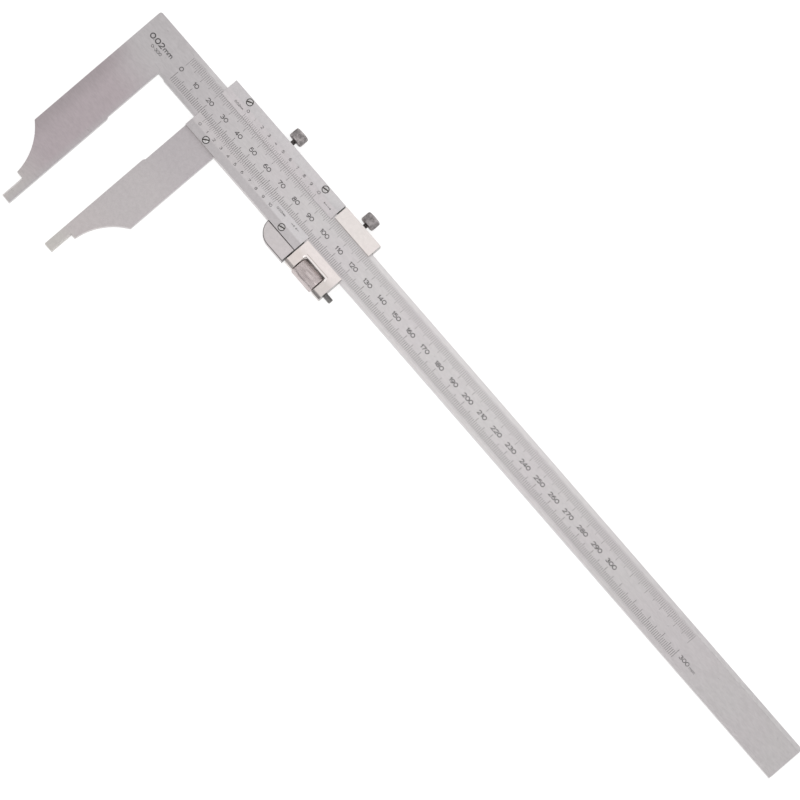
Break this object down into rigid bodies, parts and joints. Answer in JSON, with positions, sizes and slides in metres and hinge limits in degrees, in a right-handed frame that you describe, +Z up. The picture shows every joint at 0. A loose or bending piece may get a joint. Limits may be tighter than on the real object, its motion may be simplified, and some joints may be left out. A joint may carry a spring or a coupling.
{
  "type": "vernier caliper",
  "caption": "Long-jaw vernier caliper with nib jaws, screwed-on vernier plates, clamp screws and a fine-adjustment carriage with a knurled feed nut.",
  "frame": {"origin": "middle of the caliper's footprint, on the plane of the slider's back, which it lies on", "axes": "+X along the beam away from the jaws, +Y across it away from the jaw tips, +Z up out of the scale face"},
  "size_m": [0.4472, 0.1226, 0.0101],
  "materials": {
    "ground_steel": "ground and satin hard-chromed steel",
    "satin_chrome": "satin chrome",
    "plate_chrome": "fine matt chrome",
    "bright_satin": "bright satin chrome",
    "knurled_bright_steel": "straight knurl, bright",
    "knurled_dark_steel": "diamond knurl, dulled",
    "bright_steel": "polished",
    "blackened_steel": "blackened",
    "bronze": "bare phosphor bronze",
    "graduation_ink": "black fill in engraved lines"
  },
  "bodies": {
    "beam": {"main_beam": "ground_steel"},
    "slider": {"slider_body": "satin_chrome", "upper_vernier_plate": "plate_chrome", "lower_vernier_plate": "plate_chrome", "upper_left_plate_screw": "bright_steel", "upper_right_plate_screw": "bright_steel", "lower_left_plate_screw": "bright_steel", "lower_right_plate_screw": "bright_steel", "slider_gib": "bronze", "left_gib_pressing_screw": "blackened_steel", "right_gib_pressing_screw": "blackened_steel", "left_gib_setting_screw": "blackened_steel", "right_gib_setting_screw": "blackened_steel", "feed_screw": "blackened_steel", "feed_screw_pin": "blackened_steel"},
    "slider_clamp": {"slider_clamp_screw": "knurled_dark_steel"},
    "carriage": {"fine_adjust_carriage": "bright_satin", "carriage_gib": "bronze"},
    "carriage_clamp": {"carriage_clamp_screw": "knurled_dark_steel"},
    "feed_nut": {"feed_nut": "knurled_bright_steel"}
  },
  "joints": [
    {"name": "jaw_slide", "type": "slide", "parent": "beam", "child": "slider", "axis": [1, 0, 0], "range_m": [-0.02478, 0.2752]},
    {"name": "carriage_feed", "type": "slide", "parent": "slider", "child": "carriage", "axis": [1, 0, 0], "range_m": [-0.0006, 0.008]},
    {"name": "feed_nut_spin", "type": "hinge", "parent": "carriage", "child": "feed_nut", "pos_m": [-0.0881, 0.0202, 0.00505], "axis": [1, 0, 0], "range_deg": [-432, 5760]},
    {"name": "slider_clamp_turn", "type": "hinge", "parent": "slider", "child": "slider_clamp", "pos_m": [-0.1387, 0.0586, 0.0046], "axis": [0, 1, 0], "range_deg": [0, 360]},
    {"name": "carriage_clamp_turn", "type": "hinge", "parent": "carriage", "child": "carriage_clamp", "pos_m": [-0.0881, 0.0582, 0.0046], "axis": [0, 1, 0], "range_deg": [0, 360]}
  ],
  "couplings": [
    {"joint": "feed_nut_spin", "follows": "carriage_feed", "rad_per_m": 12566}
  ]
}
